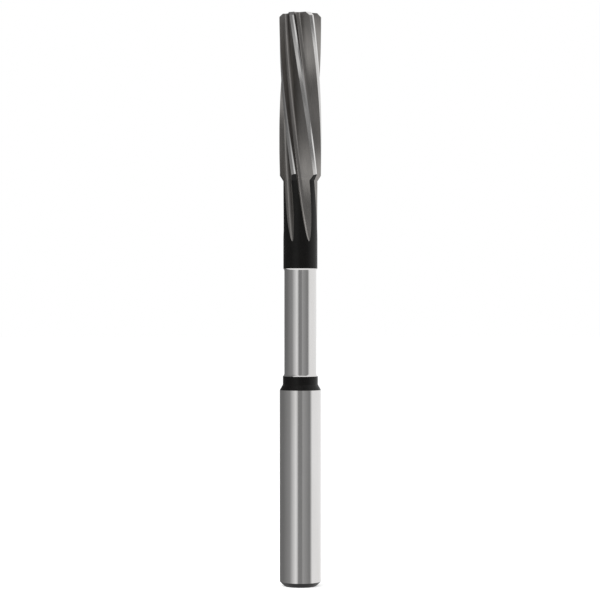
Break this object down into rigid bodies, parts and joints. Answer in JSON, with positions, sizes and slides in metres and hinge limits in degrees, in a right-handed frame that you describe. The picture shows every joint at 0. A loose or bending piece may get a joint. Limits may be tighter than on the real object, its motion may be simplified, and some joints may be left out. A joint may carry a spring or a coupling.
{
  "type": "machine reamer",
  "caption": "Straight-shank machine reamer with left-hand helical flutes, a ground neck and a chamfered head, for finishing drilled holes to size.",
  "frame": {"origin": "centre of the shank's end face, on the tool's axis", "axes": "+Z along the axis from the shank to the cutting end, -Y towards the front"},
  "size_m": [0.0092, 0.0092, 0.125],
  "materials": {
    "tool_steel": "ground bright on the lands, neck and shank; black oxide on the unground neck and band; dull in the flutes"
  },
  "bodies": {
    "root": {"machine_reamer": "tool_steel"}
  },
  "joints": []
}
